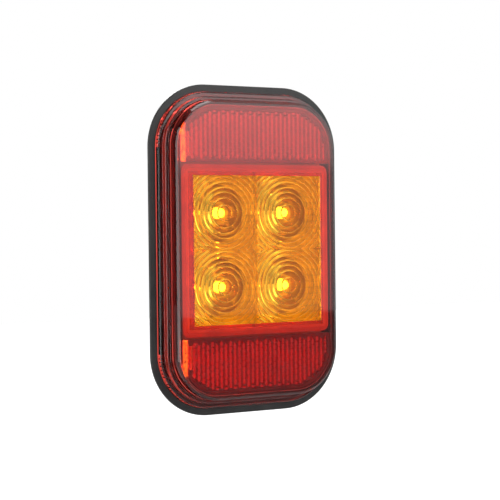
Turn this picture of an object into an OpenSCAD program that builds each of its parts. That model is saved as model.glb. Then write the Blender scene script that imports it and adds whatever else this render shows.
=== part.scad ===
// Rectangular LED tail light for a trailer: a stepped red lens with a reflex reflector
// above and below a square amber panel, lit by four LEDs behind ringed optics.
// X is to the right, Z is up and the lens faces -Y. The origin is the middle of the
// mounting face, where the gasket meets the panel that the lamp is bolted to.

/* [Rim and lens] */
// Width of the black rim
rim_w = 86; // [84:1:90]
// Height of the black rim
rim_h = 130; // [128:1:140]
// Corner radius of the rim
rim_r = 25; // [24:0.5:27]
// Thickness of the rim
rim_t = 1.1; // [1:0.05:1.2]
// Height of the front face above the back of the rim
lens_h = 11.2; // [11.2:0.1:12.5]
// Thickness of the lens behind its front face
lens_t = 2; // [1.8:0.1:2]
// Height of the lens flange above the back of the rim
flange_h = 3.2; // [3:0.1:3.6]
// Height of the second step above the back of the rim
step_h = 5.4; // [5:0.1:6]

/* [Optics] */
// Side of one square optic tile; the amber panel is two by two tiles
tile = 29; // [28:0.5:29]
// Depth of the sawtooth rings behind the amber panel
ring_depth = 1.3; // [0.8:0.1:1.4]
// Distance between the ridges of the reflex reflectors
prism_pitch = 2.35; // [1.6:0.05:2.6]

/* [Mounting] */
// Thickness of the mounting gasket
gasket_t = 1.5; // [1.3:0.1:2.5]
// Distance between the two mounting studs
stud_spacing = 45; // [40:1:50]
// Diameter of the mounting studs
stud_d = 5; // [4:0.5:6]
// Length of the studs behind the mounting face
stud_len = 15; // [10:1:25]

/* [Inlet] */
// Width of the opening in the inlet socket
socket_w = 17; // [15:1:20]
// Height of the opening in the inlet socket
socket_h = 9; // [8:1:11]
// Length of the inlet socket behind the mounting face
socket_len = 18; // [16:1:24]

/* [Hidden] */
$fn = 72;

// Overlap that keeps a cutting shape clear of the face it cuts
cut = 0.5;
// Gap between parts that slide into each other
slip = 0.2;

// Middle of the rim's corner arcs, which every inset outline shares
corner_x = rim_w / 2 - rim_r;
corner_z = rim_h / 2 - rim_r;

// The insets of the lens's steps from the rim's outline, from the flange to the front face
foot_in = 2.7;
step_in = 4.9;
wall_in = 6.2;
edge_in = 6.8;
face_in = 7.8;
cavity_in = 8.4;
plate_in = 9;
// The weld bead's groove under the flange
seal_in = 4.4;
seal_w = 1.6;
seal_t = 0.9;

// Heights above the back of the rim, from the back to the front
back_step = 1.2;
spreader_h = 1.7;
spreader_t = 0.9;
pad_t = 0.4;
board_h = spreader_h + spreader_t + pad_t;
board_t = 1.6;
board_top = board_h + board_t;
lens_in_h = lens_h - lens_t;

// Housing floor and the thin black wall inside the lens, which locates it
floor_in = 9.5;
tongue_t = 0.7;
tongue_h = 8.8;
boss_r = 7;

// Mounting studs: a hexagonal head, a shoulder moulded into the floor, then the thread
stud_head_af = 8;
stud_sink = 0.6;
shoulder_r = 3.2;

// Amber panel and the frame round it
panel = 2 * tile;
panel_lip = 1.5;
panel_lip_t = 0.8;
window = panel + 8.8;
frame_wall = 1.4;
frame_lip_t = 0.95;
divider_t = 0.8;
divider_top = 7.6;
ring_radii = [3.1, 5.8, 8, 9.9, 12, 13.8, 15.6, 17.4, 19.2];

// Reflex reflectors: the sheet reaches over the tongue, and the backing stays inside it
reflex_in = cavity_in + slip;
backing_in = 9.4;
reflex_z = window / 2 + 0.8;
reflex_t = 0.35;
prism_depth = 1.65;
backing_t = 0.3;
backing_gap = 0.1;
backing_rib = 1.2;

// LEDs
led_w = 3.5;
led_t = 0.8;
dome_r = 1.45;

// Board and its screws
board_in = 10.4;
screw_x = 27;
screw_z = 47;
screw_r = 1.25;
screw_len = 4.8;
screw_head_r = 2.4;
screw_head_t = 1.1;
post_r = 3.2;

// Inlet socket, centred behind the lower reflex reflector
socket_z = -44;
socket_wall = 2;
socket_lip = 2.5;
socket_lip_t = 1.2;
socket_floor = 2.2;
terminal_w = 2.8;
terminal_t = 0.8;
terminal_x = 3.6;
terminal_tip = 11;
terminal_tail = 1;
seal_bead = 0.9;

// Breather, centred behind the upper reflex reflector
vent_z = 44;
vent_r = 4.8;
vent_hole_r = 2;
membrane_t = 0.3;
vent_cap_t = 0.7;

// ---------------------------------------------------------------- shared shapes

// Turns a shape drawn flat, with its height up, so that the height faces -Y. Height 0 is
// the back of the rim, one gasket in front of the mounting face.
module on_rim() {
    translate([0, -gasket_t, 0])
        rotate([90, 0, 0])
            children();
}

// The rim's outline, moved inwards all the way round
module outline(inset) {
    r = rim_r - inset;
    square([2 * corner_x, 2 * (corner_z + r)], center = true);
    square([2 * (corner_x + r), 2 * corner_z], center = true);
    for (x = [-1, 1], z = [-1, 1])
        translate([x * corner_x, z * corner_z])
            circle(r);
}

// A flat plate inside the outline, between two heights
module slab(inset, low, high) {
    translate([0, 0, low])
        linear_extrude(high - low)
            outline(inset);
}

// A band that follows the outline. Its section is a list of [inset, height] points.
module band(section) {
    corners = [[1, 1, 0], [-1, 1, 90], [-1, -1, 180], [1, -1, 270]];
    for (c = corners) {
        translate([c[0] * corner_x, c[1] * corner_z, 0])
            rotate([0, 0, c[2]])
                rotate_extrude(angle = 90)
                    polygon([for (p = section) [rim_r - p[0], p[1]]]);
    }
    sides = [[rim_w / 2, corner_z, 0], [rim_h / 2, corner_x, 90],
             [rim_w / 2, corner_z, 180], [rim_h / 2, corner_x, 270]];
    for (s = sides)
        rotate([0, 0, s[2]])
            translate([0, s[1], 0])
                rotate([90, 0, 0])
                    linear_extrude(2 * s[1])
                        polygon([for (p = section) [s[0] - p[0], p[1]]]);
}

// A block centred on a point of the lamp's face, between two heights
module block(x, z, w, d, low, high) {
    translate([x - w / 2, z - d / 2, low])
        cube([w, d, high - low]);
}

// A round bar on a point of the lamp's face, between two heights
module bar(x, z, r, low, high) {
    translate([x, z, low])
        cylinder(h = high - low, r = r);
}

// A hexagonal bar on a point of the lamp's face, measured across its flats
module hex_bar(x, z, flats, low, high) {
    translate([x, z, low])
        cylinder(h = high - low, r = flats / sqrt(3), $fn = 6);
}

module at_screws() {
    for (x = [-1, 1], z = [-1, 1])
        translate([x * screw_x, z * screw_z, 0])
            children();
}

// ---------------------------------------------------------------- housing and mounting

module mounting_gasket() {
    color("#262626")
        on_rim()
            difference() {
                slab(1.2, -gasket_t, 0);
                slab(floor_in - slip, -gasket_t - cut, cut);
            }
}

module back_housing() {
    color("#1c1c1d")
        on_rim()
            difference() {
                union() {
                    slab(0, 0, rim_t);
                    slab(floor_in, -back_step, 0);
                    difference() {
                        slab(cavity_in + slip, rim_t, tongue_h);
                        slab(cavity_in + slip + tongue_t, rim_t, tongue_h + cut);
                    }
                    at_screws()
                        bar(0, 0, post_r, rim_t, board_h);
                    for (z = [-1, 1])
                        bar(0, z * stud_spacing / 2, boss_r, rim_t, spreader_h);
                    for (x = [-1, 1])
                        block(x * 20, 0, 1.5, 60, rim_t, spreader_h);
                }
                for (z = [-1, 1]) {
                    bar(0, z * stud_spacing / 2, shoulder_r, -back_step - cut, 0);
                    hex_bar(0, z * stud_spacing / 2, stud_head_af, -stud_sink, spreader_h + cut);
                }
                at_screws()
                    bar(0, 0, screw_r, board_top - screw_len, board_h + cut);
                block(0, socket_z, socket_w + 2 * socket_wall, socket_h + 2 * socket_wall,
                      -back_step - cut, rim_t + cut);
                bar(0, vent_z, vent_hole_r, -back_step - cut, rim_t + cut);
                bar(0, vent_z, vent_r, -back_step - cut, membrane_t + vent_cap_t - back_step);
            }
}

// A stud whose hexagonal head and shoulder are held in the housing floor
module mounting_stud(z) {
    color("#b9bcc0")
        on_rim() {
            hex_bar(0, z, stud_head_af, -stud_sink, spreader_h);
            bar(0, z, shoulder_r, -back_step, -stud_sink);
            difference() {
                bar(0, z, stud_d / 2, -gasket_t - stud_len, -back_step);
                translate([0, z, -gasket_t - stud_len])
                    thread_lead_in();
            }
        }
}

// The ring that is cut from a stud's end to leave its chamfer
module thread_lead_in() {
    lead = 0.7;
    rotate_extrude()
        polygon([[stud_d / 2 - lead, -cut], [stud_d / 2 + cut, -cut],
                 [stud_d / 2 + cut, lead + cut], [stud_d / 2 - lead, 0]]);
}

module upper_mounting_stud() { mounting_stud(stud_spacing / 2); }

module lower_mounting_stud() { mounting_stud(-stud_spacing / 2); }

// ---------------------------------------------------------------- lens and optics

// The section of the lens, from its foot up the steps to the front face and back inside
lens_section = [
    [foot_in, rim_t],
    [foot_in + 0.4, flange_h - 0.6],
    [foot_in + 1, flange_h],
    [step_in, flange_h],
    [step_in + 0.2, step_h - 0.3],
    [step_in + 0.5, step_h],
    [wall_in, step_h],
    [edge_in, lens_h - 0.9],
    [face_in, lens_h],
    [plate_in, lens_h],
    [plate_in, lens_in_h],
    [cavity_in, lens_in_h],
    [cavity_in, rim_t],
    [seal_in + seal_w, rim_t],
    [seal_in + seal_w, rim_t + seal_t],
    [seal_in, rim_t + seal_t],
    [seal_in, rim_t],
];

module outer_lens() {
    color("#b3121a")
        on_rim() {
            band(lens_section);
            difference() {
                slab(plate_in, lens_in_h, lens_h);
                block(0, 0, panel, panel, lens_in_h - cut, lens_h + cut);
            }
        }
}

module lens_seal() {
    color("#3a3a3a")
        on_rim()
            band([[seal_in, rim_t], [seal_in + seal_w, rim_t],
                  [seal_in + seal_w, rim_t + seal_t], [seal_in, rim_t + seal_t]]);
}

// The sawtooth section of the rings: each one starts deep and rises to the next
ring_low = lens_in_h - ring_depth;
ring_section = concat(
    [[0, lens_in_h + cut], [0, ring_low + 0.2]],
    [for (i = [0 : len(ring_radii) - 1])
        each [[ring_radii[i], lens_in_h - 0.2], [ring_radii[i], ring_low]]],
    [[tile, ring_low], [tile, lens_in_h + cut]]);

module amber_optic_panel() {
    color("#f59a12")
        on_rim() {
            block(0, 0, panel, panel, lens_in_h, lens_h);
            difference() {
                block(0, 0, panel + 2 * panel_lip, panel + 2 * panel_lip,
                      lens_in_h - panel_lip_t, lens_in_h);
                block(0, 0, panel, panel, lens_in_h - panel_lip_t - cut, lens_in_h + cut);
            }
            for (x = [-1, 1], z = [-1, 1])
                translate([x * tile / 2, z * tile / 2, 0])
                    intersection() {
                        rotate_extrude()
                            polygon(ring_section);
                        block(0, 0, tile, tile, ring_low - cut, lens_in_h);
                    }
        }
}

// The outline of a reflex reflector: the lens's inner outline beyond a height from the middle
module reflex_outline(side, inset, start_z) {
    intersection() {
        outline(inset);
        translate([-rim_w / 2, side > 0 ? start_z : -rim_h / 2])
            square([rim_w, rim_h / 2 - start_z]);
    }
}

// Where the prisms may be: inside the rib of the backing
module prism_outline(side) {
    reflex_outline(side, backing_in + backing_rib, reflex_z + backing_rib);
}

// A red plate whose back is a row of V ridges, which turn light back to where it came from
module reflex_plate(side) {
    top = lens_in_h;
    root = top - reflex_t;
    count = floor((rim_w / 2 - backing_in) / prism_pitch) - 1;
    first = -count * prism_pitch;
    color("#c41a22")
        on_rim() {
            translate([0, 0, root])
                linear_extrude(reflex_t)
                    reflex_outline(side, reflex_in, reflex_z);
            intersection() {
                translate([0, 0, root - prism_depth])
                    linear_extrude(prism_depth)
                        prism_outline(side);
                for (i = [0 : 2 * count - 1])
                    translate([first + i * prism_pitch, rim_h / 2, 0])
                        rotate([90, 0, 0])
                            linear_extrude(rim_h)
                                polygon([[0, root], [prism_pitch / 2, root - prism_depth],
                                         [prism_pitch, root]]);
            }
        }
}

module upper_reflex_plate() { reflex_plate(1); }

module lower_reflex_plate() { reflex_plate(-1); }

// The cover that seals the air behind the prisms, on a rib round its edge
module reflex_backing(side) {
    top = lens_in_h - reflex_t;
    low = top - prism_depth - backing_gap;
    color("#8f9092")
        on_rim() {
            translate([0, 0, low - backing_t])
                linear_extrude(backing_t)
                    reflex_outline(side, backing_in, reflex_z);
            translate([0, 0, low])
                linear_extrude(top - low)
                    difference() {
                        reflex_outline(side, backing_in, reflex_z);
                        prism_outline(side);
                    }
        }
}

module upper_reflex_backing() { reflex_backing(1); }

module lower_reflex_backing() { reflex_backing(-1); }

// The frame that keeps the LEDs' light in four cells behind the amber panel
module light_frame() {
    inner = panel + 2 * panel_lip + slip;
    outer = inner + 2 * frame_wall;
    color("#d8d4cf")
        on_rim() {
            difference() {
                union() {
                    block(0, 0, outer, outer, board_top, lens_in_h);
                    block(0, 0, window, window, lens_in_h - frame_lip_t, lens_in_h);
                }
                block(0, 0, inner, inner, board_top - cut, lens_in_h + cut);
            }
            block(0, 0, inner + cut, divider_t, board_top, divider_top);
            block(0, 0, divider_t, inner + cut, board_top, divider_top);
        }
}

// ---------------------------------------------------------------- board and electronics

module led_board() {
    color("#e9e9e4")
        on_rim()
            difference() {
                slab(board_in, board_h, board_top);
                at_screws()
                    bar(0, 0, screw_r + slip, board_h - cut, board_top + cut);
                for (x = [-1, 1])
                    block(x * terminal_x, socket_z, terminal_w + slip, terminal_t + slip,
                          board_h - cut, board_top + cut);
            }
}

module board_screws() {
    color("#c9cbce")
        on_rim()
            at_screws() {
                bar(0, 0, screw_r, board_top - screw_len, board_top);
                difference() {
                    bar(0, 0, screw_head_r, board_top, board_top + screw_head_t);
                    block(0, 0, 2.6, 0.6, board_top + 0.5, board_top + screw_head_t + cut);
                    block(0, 0, 0.6, 2.6, board_top + 0.5, board_top + screw_head_t + cut);
                }
            }
}

module thermal_pad() {
    color("#8fa3b5")
        on_rim()
            block(0, 0, 48, 60, spreader_h + spreader_t, board_h);
}

module heat_spreader() {
    color("#b8bcc2")
        on_rim()
            difference() {
                slab(board_in + 0.6, spreader_h, spreader_h + spreader_t);
                at_screws()
                    bar(0, 0, post_r + slip, spreader_h - cut, board_h);
                block(0, socket_z, socket_w + 4, socket_h + 4, spreader_h - cut, board_h);
                bar(0, vent_z, vent_r, spreader_h - cut, board_h);
            }
}

// The places of the four LEDs: one behind the middle of each tile
module at_led(x, z) {
    on_rim()
        translate([x * tile / 2, z * tile / 2, board_top])
            children();
}

module led_base(x, z) {
    color("#f4f4ee")
        at_led(x, z)
            difference() {
                block(0, 0, led_w, led_w, 0, led_t);
                translate([-led_w / 2, -led_w / 2, led_t / 2])
                    rotate([0, 0, 45])
                        cube([0.6, 0.6, led_t], center = true);
            }
}

module led_dome(x, z) {
    color("#ffd98a")
        at_led(x, z)
            translate([0, 0, led_t])
                intersection() {
                    sphere(dome_r);
                    bar(0, 0, dome_r + cut, 0, dome_r + cut);
                }
}

module upper_left_led() { led_base(-1, 1); }

module upper_right_led() { led_base(1, 1); }

module lower_left_led() { led_base(-1, -1); }

module lower_right_led() { led_base(1, -1); }

module upper_left_led_dome() { led_dome(-1, 1); }

module upper_right_led_dome() { led_dome(1, 1); }

module lower_left_led_dome() { led_dome(-1, -1); }

module lower_right_led_dome() { led_dome(1, -1); }

// A moulded chip with bent leads on two sides, [width, depth, height]
module leaded_chip(x, z, size, leads, lead_w) {
    lead_out = 0.9;
    on_rim()
        translate([x, z, board_top]) {
            block(0, 0, size[0], size[1], 0.1, size[2]);
            for (side = [-1, 1], i = [0 : leads - 1])
                block(side * (size[0] + lead_out) / 2,
                      (i - (leads - 1) / 2) * size[1] / leads,
                      lead_out, lead_w, 0, 0.25);
        }
}

module surge_suppressor() {
    color("#2a2a2c")
        leaded_chip(-14, -44, [4.4, 2.7, 2], 1, 1.5);
}

module polarity_diode() {
    color("#2a2a2c")
        leaded_chip(14, -44, [4.4, 2.7, 2], 1, 1.5);
}

module led_driver_chip() {
    color("#222224")
        leaded_chip(-8, 44, [3.9, 4.9, 1.5], 4, 0.45);
}

module input_capacitor() {
    color("#a98d62")
        on_rim()
            block(14, -39.5, 3.2, 2.5, board_top, board_top + 1.8);
}

module output_capacitor() {
    color("#a98d62")
        on_rim()
            block(14, 44, 3.2, 2.5, board_top, board_top + 1.8);
}

module sense_resistor() {
    color("#303236")
        on_rim()
            block(-15, 44, 1.6, 3.2, board_top, board_top + 0.6);
}

// A shielded drum: a square ferrite base and top with a round winding between them
module power_inductor() {
    color("#4a4b50")
        on_rim()
            translate([3, 44, board_top]) {
                block(0, 0, 6, 6, 0, 0.5);
                bar(0, 0, 2.6, 0.5, 1.5);
                block(0, 0, 6, 6, 1.5, 2);
            }
}

// ---------------------------------------------------------------- inlet and breather

socket_out_w = socket_w + 2 * socket_wall;
socket_out_h = socket_h + 2 * socket_wall;
// Heights of the socket's lip and its bottom, which lie behind the housing floor
lip_low = -back_step - socket_lip_t;
bottom_low = lip_low - socket_floor;
mouth_low = -gasket_t - socket_len;

module inlet_socket() {
    color("#202022")
        on_rim()
            difference() {
                union() {
                    block(0, socket_z, socket_out_w, socket_out_h, mouth_low, rim_t);
                    block(0, socket_z, socket_out_w + 2 * socket_lip,
                          socket_out_h + 2 * socket_lip, lip_low, -back_step);
                    latch_ramp();
                }
                block(0, socket_z, socket_w, socket_h, mouth_low - cut, bottom_low);
                seal_groove();
                for (x = [-1, 1])
                    block(x * terminal_x, socket_z, terminal_w, terminal_t,
                          bottom_low - cut, rim_t + cut);
            }
}

// The catch on top of the socket that holds the plug
module latch_ramp() {
    ramp_w = 6;
    ramp_h = 1.6;
    ramp_low = mouth_low + 2;
    translate([ramp_w / 2, socket_z + socket_out_h / 2, 0])
        rotate([0, -90, 0])
            linear_extrude(ramp_w)
                polygon([[ramp_low, 0], [ramp_low + 4, ramp_h], [ramp_low + 5, ramp_h],
                         [ramp_low + 5, 0]]);
}

// The rectangular groove for the socket's seal, between its lip and the housing
module seal_groove() {
    difference() {
        seal_block(seal_bead, cut);
        seal_block(0, 2 * cut);
    }
}

module seal_block(grow, past) {
    margin = 0.6;
    block(0, socket_z, socket_out_w + 2 * (margin + grow), socket_out_h + 2 * (margin + grow),
          -back_step - 0.7, -back_step + past);
}

module socket_seal() {
    color("#b5532a")
        on_rim()
            difference() {
                seal_block(seal_bead, 0);
                translate([0, 0, -cut])
                    seal_block(0, 2 * cut);
            }
}

// A flat blade from the socket's mouth through the board
module terminal(x) {
    color("#c8c2b0")
        on_rim()
            block(x, socket_z, terminal_w, terminal_t,
                  -gasket_t - terminal_tip, board_top + terminal_tail);
}

module supply_terminal() { terminal(-terminal_x); }

module ground_terminal() { terminal(terminal_x); }

module breather_membrane() {
    color("#f2f2f2")
        on_rim()
            bar(0, vent_z, vent_r, vent_cap_t - back_step, vent_cap_t + membrane_t - back_step);
}

module breather_cap() {
    color("#2c2c2e")
        on_rim()
            difference() {
                bar(0, vent_z, vent_r, -back_step, vent_cap_t - back_step);
                for (a = [0 : 60 : 300])
                    bar(2.6 * cos(a), vent_z + 2.6 * sin(a), 0.6, -back_step - cut, 0);
            }
}

mounting_gasket();
back_housing();
upper_mounting_stud();
lower_mounting_stud();
lens_seal();
outer_lens();
amber_optic_panel();
upper_reflex_plate();
lower_reflex_plate();
upper_reflex_backing();
lower_reflex_backing();
light_frame();
led_board();
board_screws();
thermal_pad();
heat_spreader();
upper_left_led();
upper_right_led();
lower_left_led();
lower_right_led();
upper_left_led_dome();
upper_right_led_dome();
lower_left_led_dome();
lower_right_led_dome();
surge_suppressor();
polarity_diode();
input_capacitor();
led_driver_chip();
power_inductor();
output_capacitor();
sense_resistor();
inlet_socket();
socket_seal();
supply_terminal();
ground_terminal();
breather_membrane();
breather_cap();
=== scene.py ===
import math

import bmesh
import bpy
import numpy as np
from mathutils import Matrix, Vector


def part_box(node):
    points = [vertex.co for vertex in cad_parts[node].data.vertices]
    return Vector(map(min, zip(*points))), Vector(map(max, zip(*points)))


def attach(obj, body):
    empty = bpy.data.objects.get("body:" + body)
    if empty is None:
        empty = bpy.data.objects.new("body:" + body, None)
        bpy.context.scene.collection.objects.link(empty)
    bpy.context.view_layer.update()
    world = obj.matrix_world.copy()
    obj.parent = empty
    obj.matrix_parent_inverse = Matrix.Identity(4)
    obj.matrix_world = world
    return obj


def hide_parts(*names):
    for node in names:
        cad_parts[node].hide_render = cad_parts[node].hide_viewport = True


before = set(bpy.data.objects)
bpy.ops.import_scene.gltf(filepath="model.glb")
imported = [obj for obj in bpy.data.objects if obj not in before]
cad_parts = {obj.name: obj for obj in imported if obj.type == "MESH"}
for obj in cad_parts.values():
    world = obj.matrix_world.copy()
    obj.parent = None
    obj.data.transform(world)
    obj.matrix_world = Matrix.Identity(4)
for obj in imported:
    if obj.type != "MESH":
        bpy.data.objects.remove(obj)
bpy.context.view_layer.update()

# The lamp is drawn in millimetres: a place is (x, z, h), where h is the height in front of
# the back of the rim. It becomes the frame's metres when a mesh is made.
MM = 0.001


def low(node):
    """The lowest corner of a CAD node, in millimetres."""
    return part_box(node)[0] / MM


def high(node):
    """The highest corner of a CAD node, in millimetres."""
    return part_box(node)[1] / MM


GASKET_T = -low("mounting_gasket").y


def height_of(y):
    """The height in front of the rim's back of a point's y, both in millimetres."""
    return -y - GASKET_T


def y_of(h):
    """The frame's y, in metres, of a height in front of the rim's back."""
    return -(GASKET_T + h) * MM


# ------------------------------ sizes from the frame

RIM_W = 2 * high("back_housing").x
RIM_H = 2 * high("back_housing").z
RIM_T = height_of(high("outer_lens").y)
FRONT = height_of(low("outer_lens").y)
FOOT_IN = RIM_W / 2 - high("outer_lens").x
BACK_STEP = -height_of(high("back_housing").y)
TONGUE_TOP = height_of(low("back_housing").y)
BOARD_TOP = height_of(low("led_board").y)
SPREADER_H = height_of(high("heat_spreader").y)
REFLEX_TOP = height_of(low("upper_reflex_plate").y)
REFLEX_LOW = height_of(high("upper_reflex_plate").y)
REFLEX_Z = low("upper_reflex_plate").z
REFLEX_IN = RIM_W / 2 - high("upper_reflex_plate").x
STUD_Z = (low("upper_mounting_stud").z + high("upper_mounting_stud").z) / 2
STUD_END = height_of(high("upper_mounting_stud").y)
# Midway between the socket's lower edge and its seal's upper edge
SOCKET_Z = (low("inlet_socket").z + high("socket_seal").z) / 2
SOCKET_LIP = 2.5
SOCKET_W = 2 * (high("inlet_socket").x - SOCKET_LIP)
VENT_Z = (low("breather_cap").z + high("breather_cap").z) / 2
VENT_R = high("breather_cap").x
VENT_TOP = height_of(low("breather_membrane").y)
PANEL_LIP = 1.5
# Half the width of the amber panel, without its lip
PANEL = high("amber_optic_panel").x - PANEL_LIP
# Each of the panel's four optics is a square tile of half its width
TILE = PANEL

# ------------------------------ other sizes

RIM_R = 25.0
CORNER_X = RIM_W / 2 - RIM_R
CORNER_Z = RIM_H / 2 - RIM_R
LENS_T = 2.0
PLATE_BACK = FRONT - LENS_T
# Insets from the rim's outline, of the lens's inner wall, the step in the floor, and the
# prisms. DEEP_IN is past every fillet, and is where an open section ends.
CAVITY_IN = 8.4
FLOOR_IN = 9.5
PRISM_IN = 9.4
DEEP_IN = 14.0
# The chamfers where the lens's window and the amber panel meet
EDGE_CHAMFER = 0.12
SCREW_X = 27.0
SCREW_Z = 47.0
# A hairline gap keeps two faces that meet from lying in one plane
GAP = 0.03

# ------------------------------ outlines
# An outline is a function of the inset that returns a ring of (x, z) points. The rings of
# one outline all have the same number of points, so that they can be joined in a sweep.

ARC_STEPS = 28
LEAST_R = 0.03
# The signs of x and z in each quarter, anticlockwise from the upper right
QUARTERS = ((1, 1), (-1, 1), (-1, -1), (1, -1))
# Extra stations along the rim's straight sides and ends, which let the lens's front turn
# from the rim's outline into the square of its window
WINDOW_STOP = 34.0
SIDE_STOPS = (WINDOW_STOP, WINDOW_STOP / 2, 0.0, -WINDOW_STOP / 2, -WINDOW_STOP)
END_STOPS = (CORNER_X / 2, 0.0, -CORNER_X / 2)


def quarter_arc(turn, steps):
    """The angles along a quarter of a circle. Turn 0 goes from the right to the top."""
    return [math.radians(90 * turn + 90 * step / steps) for step in range(steps + 1)]


def rim_stations():
    """Round the lamp from the right-hand side: (base point, outward direction) pairs."""
    stations = []
    for turn, (sx, sz) in enumerate(QUARTERS):
        for angle in quarter_arc(turn, ARC_STEPS):
            stations.append(((sx * CORNER_X, sz * CORNER_Z), (math.cos(angle), math.sin(angle))))
        if turn % 2 == 0:
            for x in END_STOPS:
                stations.append(((sx * x, sz * CORNER_Z), (0.0, float(sz))))
        else:
            for z in SIDE_STOPS:
                stations.append(((sx * CORNER_X, sz * z), (float(sx), 0.0)))
    return stations


STATIONS = rim_stations()
BASES = np.array([base for base, outward in STATIONS])
OUTWARDS = np.array([outward for base, outward in STATIONS])


def rim_outline(inset):
    return BASES + OUTWARDS * (RIM_R - inset)


def nearest(points, place):
    """The index of the point nearest to a place."""
    return int(np.argmin(np.hypot(*(points - place).T)))


def square_ring(half):
    """The rim's stations drawn in to a square, whose corners meet the window's stops."""
    edge = rim_outline(0)
    count = len(edge)
    corners = half * np.array(QUARTERS, float)
    at_corner = [nearest(edge, (sx * RIM_W / 2, sz * WINDOW_STOP)) for sx, sz in QUARTERS]
    ring = np.zeros((count, 2))
    for k in range(4):
        following = (k + 1) % 4
        first = at_corner[k]
        steps = (at_corner[following] - first) % count
        run = [(first + i) % count for i in range(steps + 1)]
        along = [0.0]
        for a, b in zip(run, run[1:]):
            along.append(along[-1] + np.hypot(*(edge[b] - edge[a])))
        for i, length in zip(run, along):
            part = length / along[-1]
            ring[i] = corners[k] * (1 - part) + corners[following] * part
    return ring


def rounded_rectangle(width, depth, radius, x=0.0, z=0.0, arc=7):
    """A rectangle with rounded corners about (x, z), with arc steps in each corner."""
    def outline(inset):
        r = max(radius - inset, LEAST_R)
        cx = width / 2 - inset - r
        cz = depth / 2 - inset - r
        ring = []
        for turn, (sx, sz) in enumerate(QUARTERS):
            for angle in quarter_arc(turn, arc):
                ring.append((x + sx * cx + r * math.cos(angle), z + sz * cz + r * math.sin(angle)))
        return np.array(ring)
    return outline


def round_outline(radius, x=0.0, z=0.0, count=64):
    def outline(inset):
        angles = np.arange(count) * 2 * math.pi / count
        r = radius - inset
        return np.stack([x + r * np.cos(angles), z + r * np.sin(angles)], 1)
    return outline


def hexagon_outline(flats, x=0.0, z=0.0):
    """A hexagon, given by its width across the flats."""
    def outline(inset):
        angles = np.arange(6) * math.pi / 3
        r = (flats - 2 * inset) / math.sqrt(3)
        return np.stack([x + r * np.cos(angles), z + r * np.sin(angles)], 1)
    return outline


def filleted(points, steps=5):
    """Rounds the corners of a section. Each point is (inset, height) or (inset, height, radius)."""
    section = []
    count = len(points)
    for i, point in enumerate(points):
        radius = point[2] if len(point) > 2 else 0.0
        here = Vector(point[:2])
        if radius <= 0:
            section.append(tuple(here))
            continue
        back = (Vector(points[i - 1][:2]) - here).normalized()
        on = (Vector(points[(i + 1) % count][:2]) - here).normalized()
        half = math.acos(max(-1.0, min(1.0, back.dot(on)))) / 2
        middle = here + (back + on).normalized() * radius / math.sin(half)
        start = here + back * radius / math.tan(half) - middle
        end = here + on * radius / math.tan(half) - middle
        sweep = math.pi - 2 * half
        for step in range(steps + 1):
            part = step / steps
            blend = start * math.sin((1 - part) * sweep) + end * math.sin(part * sweep)
            section.append(tuple(middle + blend / math.sin(sweep)))
    return section


# ------------------------------ meshes

def mesh_piece(name, points, faces):
    """A closed mesh from (x, z, h) points in millimetres, with its normals outwards."""
    co = [(x * MM, y_of(h), z * MM) for x, z, h in points]
    mesh = bpy.data.meshes.new(name)
    mesh.from_pydata(co, [], [list(f) for f in faces])
    obj = bpy.data.objects.new(name, mesh)
    bpy.context.scene.collection.objects.link(obj)
    point_outwards(obj)
    return obj


def point_outwards(obj):
    edit = bmesh.new()
    edit.from_mesh(obj.data)
    bmesh.ops.recalc_face_normals(edit, faces=edit.faces)
    edit.to_mesh(obj.data)
    edit.free()


def loft(name, rings, closed=False):
    """Joins rings of ([(x, z)], h) into a solid: capped at its ends, or closed on itself."""
    count = len(rings[0][0])
    points = []
    for ring, h in rings:
        points += [(x, z, h) for x, z in ring]
    faces = []
    last = len(rings) if closed else len(rings) - 1
    for k in range(last):
        a = k * count
        b = ((k + 1) % len(rings)) * count
        for i in range(count):
            j = (i + 1) % count
            faces.append((a + i, a + j, b + j, b + i))
    if not closed:
        faces.append(tuple(range(count)))
        faces.append(tuple(range(len(points) - count, len(points))))
    return mesh_piece(name, points, faces)


def swept(name, outline, section, closed=False):
    """Carries a section of (inset, height) points round an outline."""
    return loft(name, [(outline(inset), h) for inset, h in section], closed)


def puck(name, outline, bottom, top, round_by=0.0):
    """A flat block of an outline between two heights, with its edges rounded."""
    if round_by <= 0:
        return swept(name, outline, [(0, bottom), (0, top)])
    deep = 3 * round_by
    section = filleted([(deep, bottom), (0, bottom, round_by), (0, top, round_by), (deep, top)], 4)
    return swept(name, outline, section)


def carved(obj, tools, operation="DIFFERENCE"):
    """The boolean of a piece with other closed pieces, which are used up."""
    for tool in tools:
        step = obj.modifiers.new("carve", "BOOLEAN")
        step.operation = operation
        step.solver = "MANIFOLD"
        step.object = tool
    bpy.context.view_layer.update()
    graph = bpy.context.evaluated_depsgraph_get()
    mesh = bpy.data.meshes.new_from_object(obj.evaluated_get(graph))
    obj.modifiers.clear()
    obj.data = mesh
    for tool in tools:
        bpy.data.objects.remove(tool)
    return obj


def joined(obj, parts):
    return carved(obj, parts, "UNION")


SHARP = math.radians(32)
# How far large faces lead the shading, from 1 to 100, so that fillets blend into the flats
LARGE_FACE_WEIGHT = 80


def finish_piece(obj, name, nodes, look, sharp=SHARP):
    """Smooths a piece, gives it its look and puts it in the place of CAD nodes."""
    obj.name = name
    obj.data.name = name
    obj.data.shade_smooth()
    obj.data.set_sharp_from_angle(angle=sharp)
    even = obj.modifiers.new("even_normals", "WEIGHTED_NORMAL")
    even.keep_sharp = True
    even.weight = LARGE_FACE_WEIGHT
    obj.data.materials.clear()
    obj.data.materials.append(look.material)
    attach(obj, "root")
    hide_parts(*nodes)
    return obj


# ------------------------------ material helpers

def set_inputs(node, values):
    for socket, value in values.items():
        node.inputs[socket].default_value = value


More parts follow.
